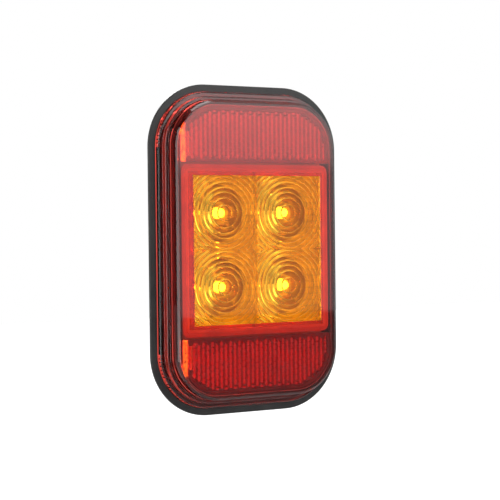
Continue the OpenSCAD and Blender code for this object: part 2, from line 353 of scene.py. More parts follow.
class Look:
    """A node material on a Principled shader, with its textures in the lamp's own frame."""

    # Socket names that aren't their keyword in title case
    NAMES = {"Ior": "IOR", "Specular Ior Level": "Specular IOR Level"}
    # Nearly all of a noise lies between these values
    NOISE_LOW = 0.3
    NOISE_HIGH = 0.7

    def __init__(self, name, colour, roughness=0.5, **inputs):
        self.material = bpy.data.materials.new(name)
        self.material.use_nodes = True
        self.tree = self.material.node_tree
        self.shader = self.tree.nodes["Principled BSDF"]
        self.set("Base Color", (*colour, 1.0))
        self.set("Roughness", roughness)
        for keyword, value in inputs.items():
            title = keyword.replace("_", " ").title()
            self.set(self.NAMES.get(title, title), value)
        self.place = self.add("ShaderNodeTexCoord").outputs["Object"]

    def set(self, socket, value):
        self.shader.inputs[socket].default_value = value

    def add(self, kind, **settings):
        node = self.tree.nodes.new(kind)
        for key, value in settings.items():
            setattr(node, key, value)
        return node

    def join(self, out, into):
        self.tree.links.new(out, into)

    def to(self, socket, out):
        self.join(out, self.shader.inputs[socket])

    def axis(self, letter):
        """The place along one axis of the frame, in metres."""
        split = self.add("ShaderNodeSeparateXYZ")
        self.join(self.place, split.inputs[0])
        return split.outputs[letter]

    def noise(self, size_mm, detail=4.0, rough=0.6, stretch=(1, 1, 1)):
        """Noise whose features are about size_mm across, from 0 to 1."""
        turn = self.add("ShaderNodeMapping")
        set_inputs(turn, {"Scale": stretch})
        self.join(self.place, turn.inputs["Vector"])
        node = self.add("ShaderNodeTexNoise")
        set_inputs(node, {"Scale": 1 / (size_mm * MM), "Detail": detail, "Roughness": rough})
        self.join(turn.outputs["Vector"], node.inputs["Vector"])
        return node.outputs["Fac"]

    def cells(self, size_mm):
        """Rounded cells about size_mm across, from 0 at their middles."""
        node = self.add("ShaderNodeTexVoronoi", feature="F1")
        set_inputs(node, {"Scale": 1 / (size_mm * MM)})
        self.join(self.place, node.inputs["Vector"])
        return node.outputs["Distance"]

    def scaled(self, out, from_low, from_high, to_low=0.0, to_high=1.0):
        """Maps one range of values to another, and holds its ends."""
        node = self.add("ShaderNodeMapRange")
        set_inputs(node, {"From Min": from_low, "From Max": from_high, "To Min": to_low, "To Max": to_high})
        self.join(out, node.inputs["Value"])
        return node.outputs["Result"]

    def spread(self, noise, to_low=0.0, to_high=1.0):
        """Spreads a noise over a range."""
        return self.scaled(noise, self.NOISE_LOW, self.NOISE_HIGH, to_low, to_high)

    def maths(self, operation, a, b=0.0):
        node = self.add("ShaderNodeMath", operation=operation)
        for socket, value in zip(node.inputs, (a, b)):
            if isinstance(value, (int, float)):
                socket.default_value = value
            else:
                self.join(value, socket)
        return node.outputs["Value"]

    def between(self, out, rise, fall):
        """1 between two places, given as (start, end) of the rise and of the fall, and 0 beyond."""
        return self.maths("MULTIPLY", self.scaled(out, *rise, 0, 1), self.scaled(out, *fall, 1, 0))

    def mixed(self, amount, colour_a, colour_b):
        node = self.add("ShaderNodeMix", data_type="RGBA")
        self.join(amount, node.inputs["Factor"])
        for socket, colour in ((node.inputs[6], colour_a), (node.inputs[7], colour_b)):
            if isinstance(colour, tuple):
                socket.default_value = (*colour, 1.0)
            else:
                self.join(colour, socket)
        return node.outputs[2]

    def tinted(self, amount, colour_a, colour_b):
        """Colours the surface from one colour, where the amount is 0, to another."""
        self.to("Base Color", self.mixed(amount, colour_a, colour_b))

    def bump(self, *layers):
        """Bumps from (heights, depth in millimetres) pairs, each laid on the one before."""
        normal = None
        for height, depth in layers:
            node = self.add("ShaderNodeBump")
            set_inputs(node, {"Strength": 1.0, "Distance": depth * MM})
            self.join(height, node.inputs["Height"])
            if normal is not None:
                self.join(normal, node.inputs["Normal"])
            normal = node.outputs["Normal"]
        self.to("Normal", normal)


def darker(colour, part):
    return tuple(c * part for c in colour)


def moulded_plastic(name, colour, roughness, grain_mm=0.35, grain_depth=0.02, tint=0.25, **inputs):
    """Opaque moulded plastic: a fine spark-eroded grain and faint flow marks."""
    flow_mm = 14
    flow_depth = 0.05
    haze = 0.004
    look = Look(name, colour, roughness, **inputs)
    grain = look.noise(grain_mm, 3)
    flow = look.noise(flow_mm, 3)
    light = tuple(min(1.0, c * (1 + tint) + haze) for c in colour)
    look.tinted(look.spread(flow), darker(colour, 1 - tint), light)
    uneven = look.maths("ADD", look.spread(grain, -0.05, 0.07), look.spread(flow, -0.04, 0.06))
    look.to("Roughness", look.maths("ADD", uneven, roughness))
    look.bump((grain, grain_depth), (flow, flow_depth))
    return look


def clear_plastic(name, colour, roughness, ripple, **inputs):
    """Transparent polished plastic with sink ripples, patches of haze and fine scratches."""
    acrylic_ior = 1.49
    scratch_depth = 0.0006
    look = Look(name, colour, roughness, transmission_weight=1.0, ior=acrylic_ior, **inputs)
    wide = look.noise(9, 2)
    scratches = look.noise(0.5, 2, 0.5, stretch=(0.08, 1, 1))
    haze = look.noise(5, 5)
    look.to("Roughness", look.scaled(haze, 0.35, 0.75, roughness * 0.6, roughness * 1.8))
    look.tinted(look.spread(wide), darker(colour, 0.9), colour)
    look.bump((wide, ripple), (scratches, scratch_depth))
    return look


def worked_metal(name, colour, roughness, grain_mm=0.2, stretch=(1, 1, 0.08), depth=0.004):
    """Plated or milled metal: directional grain, and cloudy patches in its lustre."""
    look = Look(name, colour, roughness, metallic=1.0)
    grain = look.noise(grain_mm, 4, stretch=stretch)
    cloud = look.noise(3, 4)
    look.tinted(look.scaled(cloud, 0.35, 0.7), darker(colour, 0.72), colour)
    look.to("Roughness", look.maths("ADD", look.spread(cloud, -0.06, 0.1),
                                    look.spread(grain, roughness - 0.05, roughness + 0.05)))
    look.bump((grain, depth))
    return look


def fine_grained(name, colour, roughness, grain_mm, shade, depth):
    """A dull surface with a fine even grain: fired ceramic or silicone rubber."""
    look = Look(name, colour, roughness)
    grain = look.noise(grain_mm, 4)
    look.tinted(look.scaled(grain, 0.35, 0.7), darker(colour, shade), colour)
    look.to("Roughness", look.spread(grain, roughness - 0.08, roughness + 0.1))
    look.bump((grain, depth))
    return look


def fired_ceramic(name, colour, roughness=0.4, grain_mm=0.15):
    return fine_grained(name, colour, roughness, grain_mm, 0.82, 0.006)


def soft_silicone(name, colour, roughness=0.6, grain_mm=0.8):
    return fine_grained(name, colour, roughness, grain_mm, 0.8, 0.02)


# ------------------------------ clear plastics

LENS_RED = (0.88, 0.08, 0.06)
LENS_AMBER = (1.0, 0.5, 0.03)


def amber_with_painted_glow():
    """The amber panel. The walls of its rings carry a painted glow in soft patches, which stands in for the
    LEDs' light that they catch.
    """
    look = clear_plastic("amber_lens_plastic", LENS_AMBER, 0.02, ripple=0.004,
                         specular_tint=(1.0, 0.85, 0.4, 1.0))
    # The painted glow reaches from part way down the walls, where there is none, to their roots
    painted_glow_depth = look.scaled(look.axis("Y"), y_of(PLATE_BACK - 0.5), y_of(PLATE_BACK - 1.1))
    cloud = look.scaled(look.noise(4.5, 2), 0.38, 0.64, 0.0, 0.28)
    look.to("Emission Strength", look.maths("MULTIPLY", painted_glow_depth, cloud))
    look.set("Emission Color", (1.0, 0.66, 0.05, 1))
    return look


def reflex_with_painted_glow():
    """The reflectors' plastic, with a painted glow: faint in patches, and strong in a strip at the left end
    of each reflector, where it stands in for the LEDs' light caught there."""
    look = clear_plastic("red_reflex_plastic", (0.95, 0.2, 0.2), 0.04, ripple=0.006)
    spots = look.noise(1.5, 2)
    # Where the strip's painted glow rises and where it falls, from the prisms' left end on
    end = PRISM_IN - RIM_W / 2
    rise = ((end - 0.3) * MM, (end + 0.1) * MM)
    fall = ((end + 1.6) * MM, (end + 2.2) * MM)
    strip = look.between(look.axis("X"), rise, fall)
    look.to("Emission Color", look.mixed(strip, (1.0, 0.12, 0.14), (0.7, 1.0, 0.1)))
    painted_strip_glow = look.maths("MULTIPLY", strip, look.scaled(spots, 0.35, 0.6, 0.3, 2.4))
    # A faint painted glow in patches over the whole plate
    patches = look.scaled(look.noise(2.2, 3), 0.38, 0.64, 0.010, 0.034)
    look.to("Emission Strength", look.maths("ADD", painted_strip_glow, patches))
    return look


red_lens = clear_plastic("red_lens_plastic", LENS_RED, 0.02, ripple=0.0015)
amber_lens = amber_with_painted_glow()
red_reflex = reflex_with_painted_glow()

# ------------------------------ opaque plastics and metals

black_housing = moulded_plastic("black_housing_plastic", (0.017, 0.016, 0.016), 0.33,
                                specular_ior_level=0.3)
socket_black = moulded_plastic("black_socket_plastic", (0.036, 0.036, 0.038), 0.38, 0.3, 0.015)
vent_black = moulded_plastic("vent_plastic", (0.045, 0.045, 0.047), 0.5, 0.25, 0.015)
reflex_cover = moulded_plastic("grey_cover_plastic", (0.34, 0.33, 0.34), 0.5, 0.4, 0.02, 0.1)
weld_bead = moulded_plastic("dark_weld_bead", (0.04, 0.038, 0.038), 0.5, 0.6, 0.04)
chip_plastic = moulded_plastic("chip_epoxy", (0.028, 0.028, 0.03), 0.55, 0.12, 0.01)
stud_steel = worked_metal("zinc_plated_stud", (0.66, 0.67, 0.68), 0.26, 0.25, (1, 0.15, 1))
screw_steel = worked_metal("zinc_plated_screw", (0.68, 0.69, 0.7), 0.24)
spreader_metal = worked_metal("mill_aluminium", (0.74, 0.75, 0.77), 0.36, 0.15, (0.05, 1, 1))
tinned_blade = worked_metal("tinned_brass", (0.74, 0.71, 0.65), 0.22, 0.2, (1, 0.12, 1), 0.003)

# ------------------------------ other materials


def foam_rubber():
    """Closed-cell foam: fine pores with a dry, slightly dusty skin."""
    look = Look("black_foam_rubber", (0.022, 0.022, 0.022), 0.85)
    pores = look.cells(0.45)
    dust = look.noise(6, 5)
    look.tinted(look.scaled(dust, 0.4, 0.75), (0.018, 0.018, 0.018), (0.05, 0.049, 0.047))
    look.to("Roughness", look.spread(dust, 0.78, 0.95))
    look.bump((pores, 0.09), (dust, 0.05))
    return look


def frame_with_painted_glow():
    """Off-white plastic whose lip carries a painted glow, which stands in for the LEDs' light soaking through
    it. The glow weakens towards the frame's top and bottom ends."""
    look = moulded_plastic("off_white_frame_plastic", (0.8, 0.76, 0.7), 0.4, 0.4, 0.015, 0.06)
    cloud = look.noise(5, 3)
    look.to("Emission Color", look.mixed(look.spread(cloud), (1.0, 0.62, 0.16), (1.0, 0.8, 0.22)))
    # The painted glow rises across the lip's height, from none at its bottom to full at its top
    lip = look.scaled(look.axis("Y"), y_of(PLATE_BACK - 1.0), y_of(PLATE_BACK - 0.1))
    from_middle = look.maths("ABSOLUTE", look.axis("Z"))
    ends = look.scaled(from_middle, (PANEL + 0.5) * MM, (PANEL + 2.5) * MM, 1.0, 0.6)
    painted_lip_glow = look.maths("MULTIPLY", lip, ends)
    look.to("Emission Strength", look.maths("MULTIPLY", painted_lip_glow, look.spread(cloud, 0.25, 0.45)))
    return look


def from_nearest_led(look):
    """The distance across the board from the nearest LED, in metres."""
    across = look.maths("SUBTRACT", look.maths("ABSOLUTE", look.axis("X")), TILE / 2 * MM)
    along = look.maths("SUBTRACT", look.maths("ABSOLUTE", look.axis("Z")), TILE / 2 * MM)
    squares = look.maths("ADD", look.maths("MULTIPLY", across, across), look.maths("MULTIPLY", along, along))
    return look.maths("SQRT", squares)


def circuit_board():
    """White solder mask over copper, with a raised track pattern and a faint glass weave. Each
    LED has a ring of bare copper round it, which carries its heat away."""
    look = Look("white_solder_mask", (0.82, 0.82, 0.79), 0.32)
    tracks = look.add("ShaderNodeTexBrick")
    set_inputs(tracks, {"Scale": 1 / (9 * MM), "Mortar Size": 0.03, "Color1": (0.83, 0.83, 0.8, 1),
                        "Color2": (0.8, 0.8, 0.76, 1), "Mortar": (0.66, 0.67, 0.63, 1)})
    turn = look.add("ShaderNodeMapping")
    set_inputs(turn, {"Rotation": (math.radians(90), 0, 0)})
    look.join(look.place, turn.inputs["Vector"])
    look.join(turn.outputs["Vector"], tracks.inputs["Vector"])
    weave = look.noise(0.6, 2)
    look.to("Roughness", look.spread(weave, 0.26, 0.4))
    look.bump((tracks.outputs["Fac"], -0.03), (weave, 0.01))
    # A painted glow standing in for the light that the optics throw back on the board, strongest away from
    # the LEDs
    radius = from_nearest_led(look)
    look.to("Emission Strength", look.scaled(radius, 8 * MM, 16 * MM, 0.02, 0.12))
    look.set("Emission Color", (0.9, 0.42, 0.08, 1))
    copper = look.between(radius, (3.2 * MM, 3.8 * MM), (9.4 * MM, 10 * MM))
    look.tinted(copper, tracks.outputs["Color"], (0.30, 0.165, 0.13))
    return look


def glowing_silicone():
    """The lit silicone dome of an LED, in two warm tones."""
    led_glow = 105.0
    look = Look("lit_amber_silicone", (1.0, 0.72, 0.25), 0.2)
    cloud = look.noise(0.5, 3)
    look.to("Emission Color", look.mixed(look.spread(cloud), (1.0, 0.52, 0.12), (1.0, 0.62, 0.20)))
    look.set("Emission Strength", led_glow)
    look.tinted(cloud, (0.95, 0.62, 0.2), (1.0, 0.76, 0.3))
    look.bump((cloud, 0.01))
    return look


def pressed_membrane():
    """A white breathing membrane with its pressed dots."""
    look = Look("breathing_membrane", (0.9, 0.9, 0.88), 0.8)
    dots = look.cells(0.5)
    look.tinted(look.scaled(dots, 0.1, 0.6), (0.82, 0.82, 0.8), (0.93, 0.93, 0.92))
    look.to("Roughness", look.scaled(dots, 0, 0.7, 0.72, 0.9))
    look.bump((dots, 0.03))
    return look


board_white = circuit_board()
frame_white = frame_with_painted_glow()
gasket_rubber = foam_rubber()
led_dome = glowing_silicone()
led_ceramic = fired_ceramic("white_led_ceramic", (0.88, 0.87, 0.83))
capacitor_tan = fired_ceramic("tan_capacitor_ceramic", (0.46, 0.34, 0.2))
ferrite_grey = fired_ceramic("grey_ferrite", (0.11, 0.11, 0.12), 0.5, 0.2)
resistor_black = fired_ceramic("black_resistor", (0.045, 0.045, 0.05), 0.35)
thermal_gel = soft_silicone("grey_blue_gap_pad", (0.42, 0.49, 0.57), 0.75, 0.5)
seal_silicone = soft_silicone("orange_silicone", (0.5, 0.15, 0.05))
membrane_white = pressed_membrane()


# ------------------------------ lens

def lens_body():
    """The stepped red lens: a flange, a second step, the wall, and the front with its window."""
    step_h = 5.4
    flange_h = 3.2
    groove_h = RIM_T + 0.93
    foot_h = RIM_T + GAP
    groove_from = 4.4
    groove_to = 6.0
    outside = filleted([
        (DEEP_IN, FRONT),
        # the bevelled front edge, and the leaning wall below it
        (7.75, FRONT, 0.5),
        (6.8, FRONT - 0.85, 0.45),
        (6.2, step_h, 0.2),
        # the second step
        (5.1, step_h, 0.45),
        (4.9, flange_h, 0.2),
        # the flange
        (3.2, flange_h, 0.62),
        (FOOT_IN + 0.02, foot_h, 0.12),
        # the groove for the weld bead
        (groove_from, foot_h),
        (groove_from, groove_h),
        (groove_to, groove_h),
        (groove_to, foot_h),
        # the inner wall, and the back of the front plate
        (CAVITY_IN, foot_h, 0.1),
        (CAVITY_IN, PLATE_BACK, 0.3),
        (DEEP_IN, PLATE_BACK),
    ])[1:-1]
    window = PANEL + GAP
    rings = [(square_ring(window + EDGE_CHAMFER), FRONT)]
    rings += [(rim_outline(inset), h) for inset, h in outside]
    rings += [(square_ring(window), PLATE_BACK), (square_ring(window), FRONT - EDGE_CHAMFER)]
    lens = loft("lens", rings, closed=True)
    return finish_piece(lens, "stepped_red_lens", ["outer_lens"], red_lens)


# ------------------------------ amber panel

RING_RADII = (3.1, 5.8, 8.0, 9.9, 12.0, 13.8, 15.6, 17.4, 19.2)
RING_RISE = 0.9
RING_DRAFT = 0.3
RING_TOP = PLATE_BACK - 0.2


def ring_section():
    """The sawtooth of one optic as (radius, height): each ring starts deep and thins outwards."""
    crest_r = 0.15
    root_r = 0.22
    points = [(0.0, RING_TOP - RING_RISE + 0.1)]
    for radius in RING_RADII:
        points.append((radius - RING_DRAFT / 2, RING_TOP, crest_r))
        points.append((radius + RING_DRAFT / 2, RING_TOP - RING_RISE, root_r))
    points.append((1.5 * TILE, RING_TOP))
    return filleted(points, 3)


def optic(name, x, z):
    """One tile of the panel's back: stepped rings turned about its middle, cut square."""
    spokes = 120
    cover = PLATE_BACK + 0.6
    section = ring_section()
    rings = section[1:] + [(1.5 * TILE, cover)]
    points = [(x, z, section[0][1])]
    for radius, h in rings:
        for i in range(spokes):
            angle = 2 * math.pi * i / spokes
            points.append((x + radius * math.cos(angle), z + radius * math.sin(angle), h))
    faces = [(0, 1 + i, 1 + (i + 1) % spokes) for i in range(spokes)]
    for k in range(len(rings) - 1):
        a = 1 + k * spokes
        b = a + spokes
        for i in range(spokes):
            j = (i + 1) % spokes
            faces.append((a + i, a + j, b + j, b + i))
    faces.append(tuple(range(len(points) - spokes, len(points))))
    turned = mesh_piece(name, points, faces)
    below = RING_TOP - 3
    tile = puck(name + "_tile", rounded_rectangle(TILE, TILE, LEAST_R, x, z, 1), below, cover)
    return carved(turned, [tile], "INTERSECT")


def amber_panel():
    """The plate in the lens's window, the lip that holds it from behind, and its four optics."""
    lip_t = 0.8
    lip_reach = PANEL_LIP + 0.2
    lip_top = PLATE_BACK - GAP
    lip_low = PLATE_BACK - lip_t
    plate = swept("amber", rounded_rectangle(2 * PANEL, 2 * PANEL, 0.15, arc=3),
                  [(0, PLATE_BACK), (0, FRONT - EDGE_CHAMFER), (EDGE_CHAMFER, FRONT)])
    lip_w = 2 * (PANEL + PANEL_LIP)
    lip = swept("lip", rounded_rectangle(lip_w, lip_w, 0.4, arc=3),
                [(0, lip_low), (0, lip_top), (lip_reach, lip_top), (lip_reach, lip_low)], closed=True)
    half = TILE / 2
    tiles = [optic(f"optic{2 * row + column}", sx * half, sz * half)
             for row, sz in enumerate((1, -1)) for column, sx in enumerate((-1, 1))]
    panel = joined(plate, [lip] + tiles)
    return finish_piece(panel, "amber_ringed_panel", ["amber_optic_panel"],
                        amber_lens, math.radians(24))


# ------------------------------ reflex reflectors

PRISM_SKIN = 0.1
PRISM_ROOT = REFLEX_TOP - PRISM_SKIN
# True cube corners are this much wider across their hexagon than they are deep
PRISM_PITCH = (PRISM_ROOT - REFLEX_LOW) * math.sqrt(1.5)


def in_reflector(x, z, spoke):
    """Whether a cell of the upper reflector is clear of the window and reaches its outline."""
    over_x = max(abs(x) - CORNER_X, 0.0)
    over_z = max(z - CORNER_Z, 0.0)
    return z > REFLEX_Z + spoke and math.hypot(over_x, over_z) < RIM_R - PRISM_IN + spoke


def prism_cells(spoke):
    """The middles of the upper reflector's hexagonal cells."""
    column = PRISM_PITCH * math.sqrt(3) / 2
    reach = int(RIM_W / 2 / column) + 1
    cells = []
    for i in range(-reach, reach + 1):
        for j in range(int(RIM_H / 2 / PRISM_PITCH) + 1):
            x = i * column
            z = (j + 0.5 * (i % 2)) * PRISM_PITCH + REFLEX_Z % PRISM_PITCH
            if in_reflector(x, z, spoke):
                cells.append((x, z))
    return cells


def corner_prisms(side):
    """Hexagonal corner-cube cells, three square facets each, as one closed solid."""
    spoke = PRISM_PITCH / math.sqrt(3)
    top = PRISM_ROOT + PRISM_SKIN * 0.6
    halfway = (REFLEX_LOW + PRISM_ROOT) / 2
    points = []
    index = {}

    def vertex(x, z, h):
        key = (round(x, 3), round(z, 3), round(h, 3))
        if key not in index:
            index[key] = len(points)
            points.append((x, z * side, h))
        return index[key]

    faces = []
    walls = {}
    for x, z in prism_cells(spoke):
        apex = vertex(x, z, REFLEX_LOW)
        ring = []
        lid = []
        for k in range(6):
            angle = math.radians(60 * k)
            px = x + spoke * math.cos(angle)
            pz = z + spoke * math.sin(angle)
            ring.append(vertex(px, pz, halfway if k % 2 == 0 else PRISM_ROOT))
            lid.append(vertex(px, pz, top))
        for k in (0, 2, 4):
            faces.append((apex, ring[k], ring[k + 1], ring[(k + 2) % 6]))
        faces.append(tuple(lid))
        # Two cells that meet share an edge and need no wall there
        for k in range(6):
            after = (k + 1) % 6
            if (ring[after], ring[k]) in walls:
                del walls[(ring[after], ring[k])]
            else:
                walls[(ring[k], ring[after])] = (lid[k], lid[after])
    for (a, b), (c, d) in walls.items():
        faces.append((a, b, d, c))
    return mesh_piece("prisms", points, faces)


def reflex_outline(side, inset, gap):
    """The ring of a reflector: the rim's outline, drawn in, beyond the window."""
    z_low = REFLEX_Z + gap
    radius = RIM_R - inset - gap
    half = CORNER_X + radius
    ring = [(-half, z_low), (half, z_low)]
    for turn, sx in ((0, 1), (1, -1)):
        for angle in quarter_arc(turn, ARC_STEPS):
            ring.append((sx * CORNER_X + radius * math.cos(angle), CORNER_Z + radius * math.sin(angle)))
    return np.array([(x, z * side) for x, z in ring])


def reflex_plate(place, side):
    """A thin sheet behind the lens's front, with a field of corner prisms on its back."""
    sheet = reflex_outline(side, REFLEX_IN, 0.0)
    skin = loft("skin", [(sheet, PRISM_ROOT), (sheet, REFLEX_TOP - GAP)])
    clear = reflex_outline(side, PRISM_IN, GAP)
    trim = loft("trim", [(clear, REFLEX_LOW - 1), (clear, REFLEX_TOP - GAP)])
    prisms = carved(corner_prisms(side), [trim], "INTERSECT")
    plate = joined(skin, [prisms])
    return finish_piece(plate, f"{place}_corner_cube_reflector", [f"{place}_reflex_plate"],
                        red_reflex, math.radians(5))


# ------------------------------ light frame

def light_frame():
    """The frame between the LEDs' cells and the lens: a stepped lip, a wall and two dividers."""
    half = high("light_frame").x
    wall_in = half - 32.0
    opening = 30.6
    opening_in = half - opening
    lip_top = PLATE_BACK - GAP
    lip_low = lip_top - 0.95
    step_h = lip_top - 0.5
    foot = BOARD_TOP + GAP
    section = filleted([
        (0, lip_low), (0, step_h, 0.1), (1.55, step_h, 0.06), (1.7, lip_top, 0.12),
        (opening_in, lip_top, 0.15), (opening_in, foot), (wall_in, foot), (wall_in, lip_low),
    ], 4)
    ring = swept("frame", rounded_rectangle(2 * half, 2 * half, 2.8, arc=5), section, closed=True)
    divider_t = 0.8
    divider_l = 2 * opening + 0.4
    divider_top = 7.6
    walls = [puck("upright", rounded_rectangle(divider_t, divider_l, 0.1), foot, divider_top, 0.12),
             puck("crossbar", rounded_rectangle(divider_l, divider_t, 0.1), foot, divider_top, 0.12)]
    ring = joined(ring, walls)
    return finish_piece(ring, "off_white_light_frame", ["light_frame"], frame_white)


# ------------------------------ housing and gasket

SOCKET_H = 13.0
SHOULDER_R = 3.2
HEAD_FLATS = 8.0
HEAD_SEAT = -0.6
VENT_HOLE_R = 2.0


def housing():
    """The black base: a thin rim, the floor behind it, and posts, bosses and ribs inside."""
    section = filleted([
        (DEEP_IN, RIM_T), (0, RIM_T, 0.4), (0, 0, 0.25), (FLOOR_IN, 0, 0.1),
        (FLOOR_IN + 0.12, -BACK_STEP, 0.3), (DEEP_IN, -BACK_STEP),
    ])
    base = swept("base", rim_outline, section)
    # Each piece that stands on the floor starts a little inside it
    root = RIM_T - 0.3
    tongue_in = CAVITY_IN + 0.2
    tongue_t = 0.7
    tongue = swept("tongue", rim_outline,
                   [(tongue_in, root), (tongue_in, TONGUE_TOP), (tongue_in + tongue_t, TONGUE_TOP),
                    (tongue_in + tongue_t, root)], closed=True)
    posts = [puck(f"post{i}", round_outline(3.2, sx * SCREW_X, sz * SCREW_Z, 40), root, 3.0)
             for i, (sx, sz) in enumerate(QUARTERS)]
    bosses = [puck(f"boss{i}", round_outline(7.0, 0, sz * STUD_Z), root, SPREADER_H)
              for i, sz in enumerate((1, -1))]
    # The ribs and the bosses carry the heat spreader
    ribs = [puck(f"rib{i}", rounded_rectangle(1.5, 60, 0.2, sx * 20), root, SPREADER_H)
            for i, sx in enumerate((1, -1))]
    base = joined(base, [tongue] + posts + bosses + ribs)
    base = carved(base, housing_holes())
    return finish_piece(base, "black_rim_housing", ["back_housing"], black_housing)


def housing_holes():
    """The holes and marks in the floor: at the studs, the screws, the socket and the breather."""
    below = -3.0
    above = 4.0
    groove_r = 5.4
    groove_w = 0.5
    groove_top = -BACK_STEP + 0.25
    holes = []
    for i, sz in enumerate((1, -1)):
        z = sz * STUD_Z
        holes.append(puck(f"shoulder{i}", round_outline(SHOULDER_R + GAP, 0, z), below, 0.5))
        holes.append(puck(f"head{i}", hexagon_outline(HEAD_FLATS + 2 * GAP, 0, z), HEAD_SEAT - GAP, above))
        # The ring that the moulding tool leaves round each stud
        holes.append(swept(f"groove{i}", round_outline(groove_r, 0, z),
                           [(0, below), (0, groove_top), (groove_w, groove_top), (groove_w, below)],
                           closed=True))
    for i, (sx, sz) in enumerate(QUARTERS):
        x = sx * SCREW_X
        z = sz * SCREW_Z
        # The mark of an ejector pin on the back, and the screw's hole in front
        holes.append(puck(f"pin{i}", round_outline(1.6, x, z, 32), below, -BACK_STEP + 0.12))
        holes.append(puck(f"screw{i}", round_outline(1.25 + GAP, x, z, 32), -0.25, above))
    socket_hole = rounded_rectangle(SOCKET_W + 2 * GAP, SOCKET_H + 2 * GAP, 0.5, 0, SOCKET_Z)
    holes.append(puck("socket_hole", socket_hole, below, above))
    holes.append(puck("vent_hole", round_outline(VENT_HOLE_R, 0, VENT_Z, 40), below, above))
    holes.append(puck("vent_seat", round_outline(VENT_R + GAP, 0, VENT_Z), below, VENT_TOP + GAP))
    return holes


def gasket():
    """The foam ring between the rim and the panel, with soft rounded edges."""
    outer_in = 1.2
    inner_in = 9.3
    section = filleted([(outer_in, -GAP, 0.2), (outer_in, -GASKET_T, 0.35),
                        (inner_in, -GASKET_T, 0.35), (inner_in, -GAP, 0.2)], 4)
    ring = swept("gasket", rim_outline, section, closed=True)
    return finish_piece(ring, "foam_gasket_ring", ["mounting_gasket"], gasket_rubber)


# ------------------------------ studs

STUD_R = 2.5
THREAD_PITCH = 0.8
THREAD_DEPTH = 0.45
# How far the lead-in chamfer goes in at the stud's tip
LEAD_IN = 0.7


def thread_surface(name, z, start, end):
    """A rod with a helical thread, between two heights, with its run-out and lead-in chamfer."""
    spokes = 40
    step = THREAD_PITCH / 10
    count = int(round((start - end) / step))
    rings = []
    for k in range(count + 1):
        h = start + (end - start) * k / count
        down = start - h
        fade = min(1.0, down / THREAD_PITCH)
        ring = []
        for i in range(spokes):
            turn = i / spokes
            phase = (down / THREAD_PITCH + turn) % 1.0
            # Crest, flanks and root each take a quarter of the pitch
            wave = min(1.0, max(0.0, 1.5 - abs(phase - 0.5) * 4.0))
            radius = STUD_R - THREAD_DEPTH * (1 - wave) * fade
            radius = min(radius, STUD_R - LEAD_IN + h - end)
            angle = 2 * math.pi * turn
            ring.append((radius * math.cos(angle), z + radius * math.sin(angle)))
        rings.append((ring, h))
    return loft(name, rings)


def stud(place, side):
    """A mounting stud: the threaded rod, its plain neck and shoulder, and its hexagonal head."""
    z = side * STUD_Z
    rod = thread_surface("thread", z, -BACK_STEP - 0.2, STUD_END)
    # The neck stays a hair inside the thread's crests
    plain = puck("plain", round_outline(STUD_R - 0.01, 0, z, 48), -BACK_STEP - 0.7, 0)
    shoulder = puck("shoulder", round_outline(SHOULDER_R, 0, z, 48), -BACK_STEP, HEAD_SEAT + 0.1, 0.08)
    head = puck("head", hexagon_outline(HEAD_FLATS, 0, z), HEAD_SEAT, SPREADER_H, 0.15)
    rod = joined(rod, [plain, shoulder, head])
    return finish_piece(rod, f"{place}_threaded_stud", [f"{place}_mounting_stud"], stud_steel)


# ------------------------------ inlet socket

SOCKET_WALL = 2.0
BLADE_W = 2.8
BLADE_T = 0.8
BLADE_X = 3.6


def socket():
    """The wiring socket: a rounded shell with a lip, a catch for the plug and a chamfered mouth."""
    mouth = height_of(high("inlet_socket").y)
    lip_t = 1.2
    lip_low = -BACK_STEP - lip_t
    floor = lip_low - 2.2
    shell = swept("shell", rounded_rectangle(SOCKET_W, SOCKET_H, 1.4, 0, SOCKET_Z),
                  filleted([(3, RIM_T), (0, RIM_T, 0.2), (0, mouth, 0.3), (3, mouth)], 4))
    lip_outline = rounded_rectangle(SOCKET_W + 2 * SOCKET_LIP, SOCKET_H + 2 * SOCKET_LIP, 2.2, 0, SOCKET_Z)
    lip = puck("lip", lip_outline, lip_low, -BACK_STEP, 0.3)
    rib_x = SOCKET_W / 2 - 4
    rib_z = SOCKET_Z - SOCKET_H / 2
    ribs = [puck(f"grip{i}", rounded_rectangle(1.2, 0.9, 0.2, sx * rib_x, rib_z), mouth + 1.5, lip_low + 0.4)
            for i, sx in enumerate((1, -1))]
    body = joined(shell, [lip, catch_ramp(mouth)] + ribs)
    bore_w = SOCKET_W - 2 * SOCKET_WALL
    bore_h = SOCKET_H - 2 * SOCKET_WALL
    flare = 0.4
    bore = swept("bore", rounded_rectangle(bore_w + 2 * flare, bore_h + 2 * flare, 1.2, 0, SOCKET_Z),
                 [(0, mouth - 1), (0, mouth), (flare, mouth + 0.5), (flare, floor)])
    body = carved(body, [bore, seal_groove()])
    # A rib down the middle of the bore keeps the plug the right way round
    key_z = SOCKET_Z - bore_h / 2 + 0.1
    key = puck("key", rounded_rectangle(0.9, 1.3, 0.2, 0, key_z), mouth + 1.5, floor + 0.3)
    body = joined(body, [key])
    slot_w = BLADE_W + 2 * GAP
    slot_t = BLADE_T + 2 * GAP
    slots = [puck(f"blade{i}", rounded_rectangle(slot_w, slot_t, 0.05, sx * BLADE_X, SOCKET_Z, 2),
                  mouth - 1, RIM_T + 1) for i, sx in enumerate((1, -1))]
    body = carved(body, slots)
    return finish_piece(body, "inlet_socket_shell", ["inlet_socket"], socket_black)


def catch_ramp(mouth):
    """The wedge on top of the socket that the plug's latch snaps over."""
    half = 3.0
    rise = 1.55
    z = SOCKET_Z + SOCKET_H / 2 - 0.2
    side = [(mouth + 2, z), (mouth + 5.7, z + rise), (mouth + 7, z + rise), (mouth + 7, z)]
    points = [(x, pz, h) for x in (-half, half) for h, pz in side]
    faces = [(0, 1, 2, 3), (4, 5, 6, 7), (0, 1, 5, 4), (1, 2, 6, 5), (2, 3, 7, 6), (3, 0, 4, 7)]
    return mesh_piece("catch", points, faces)


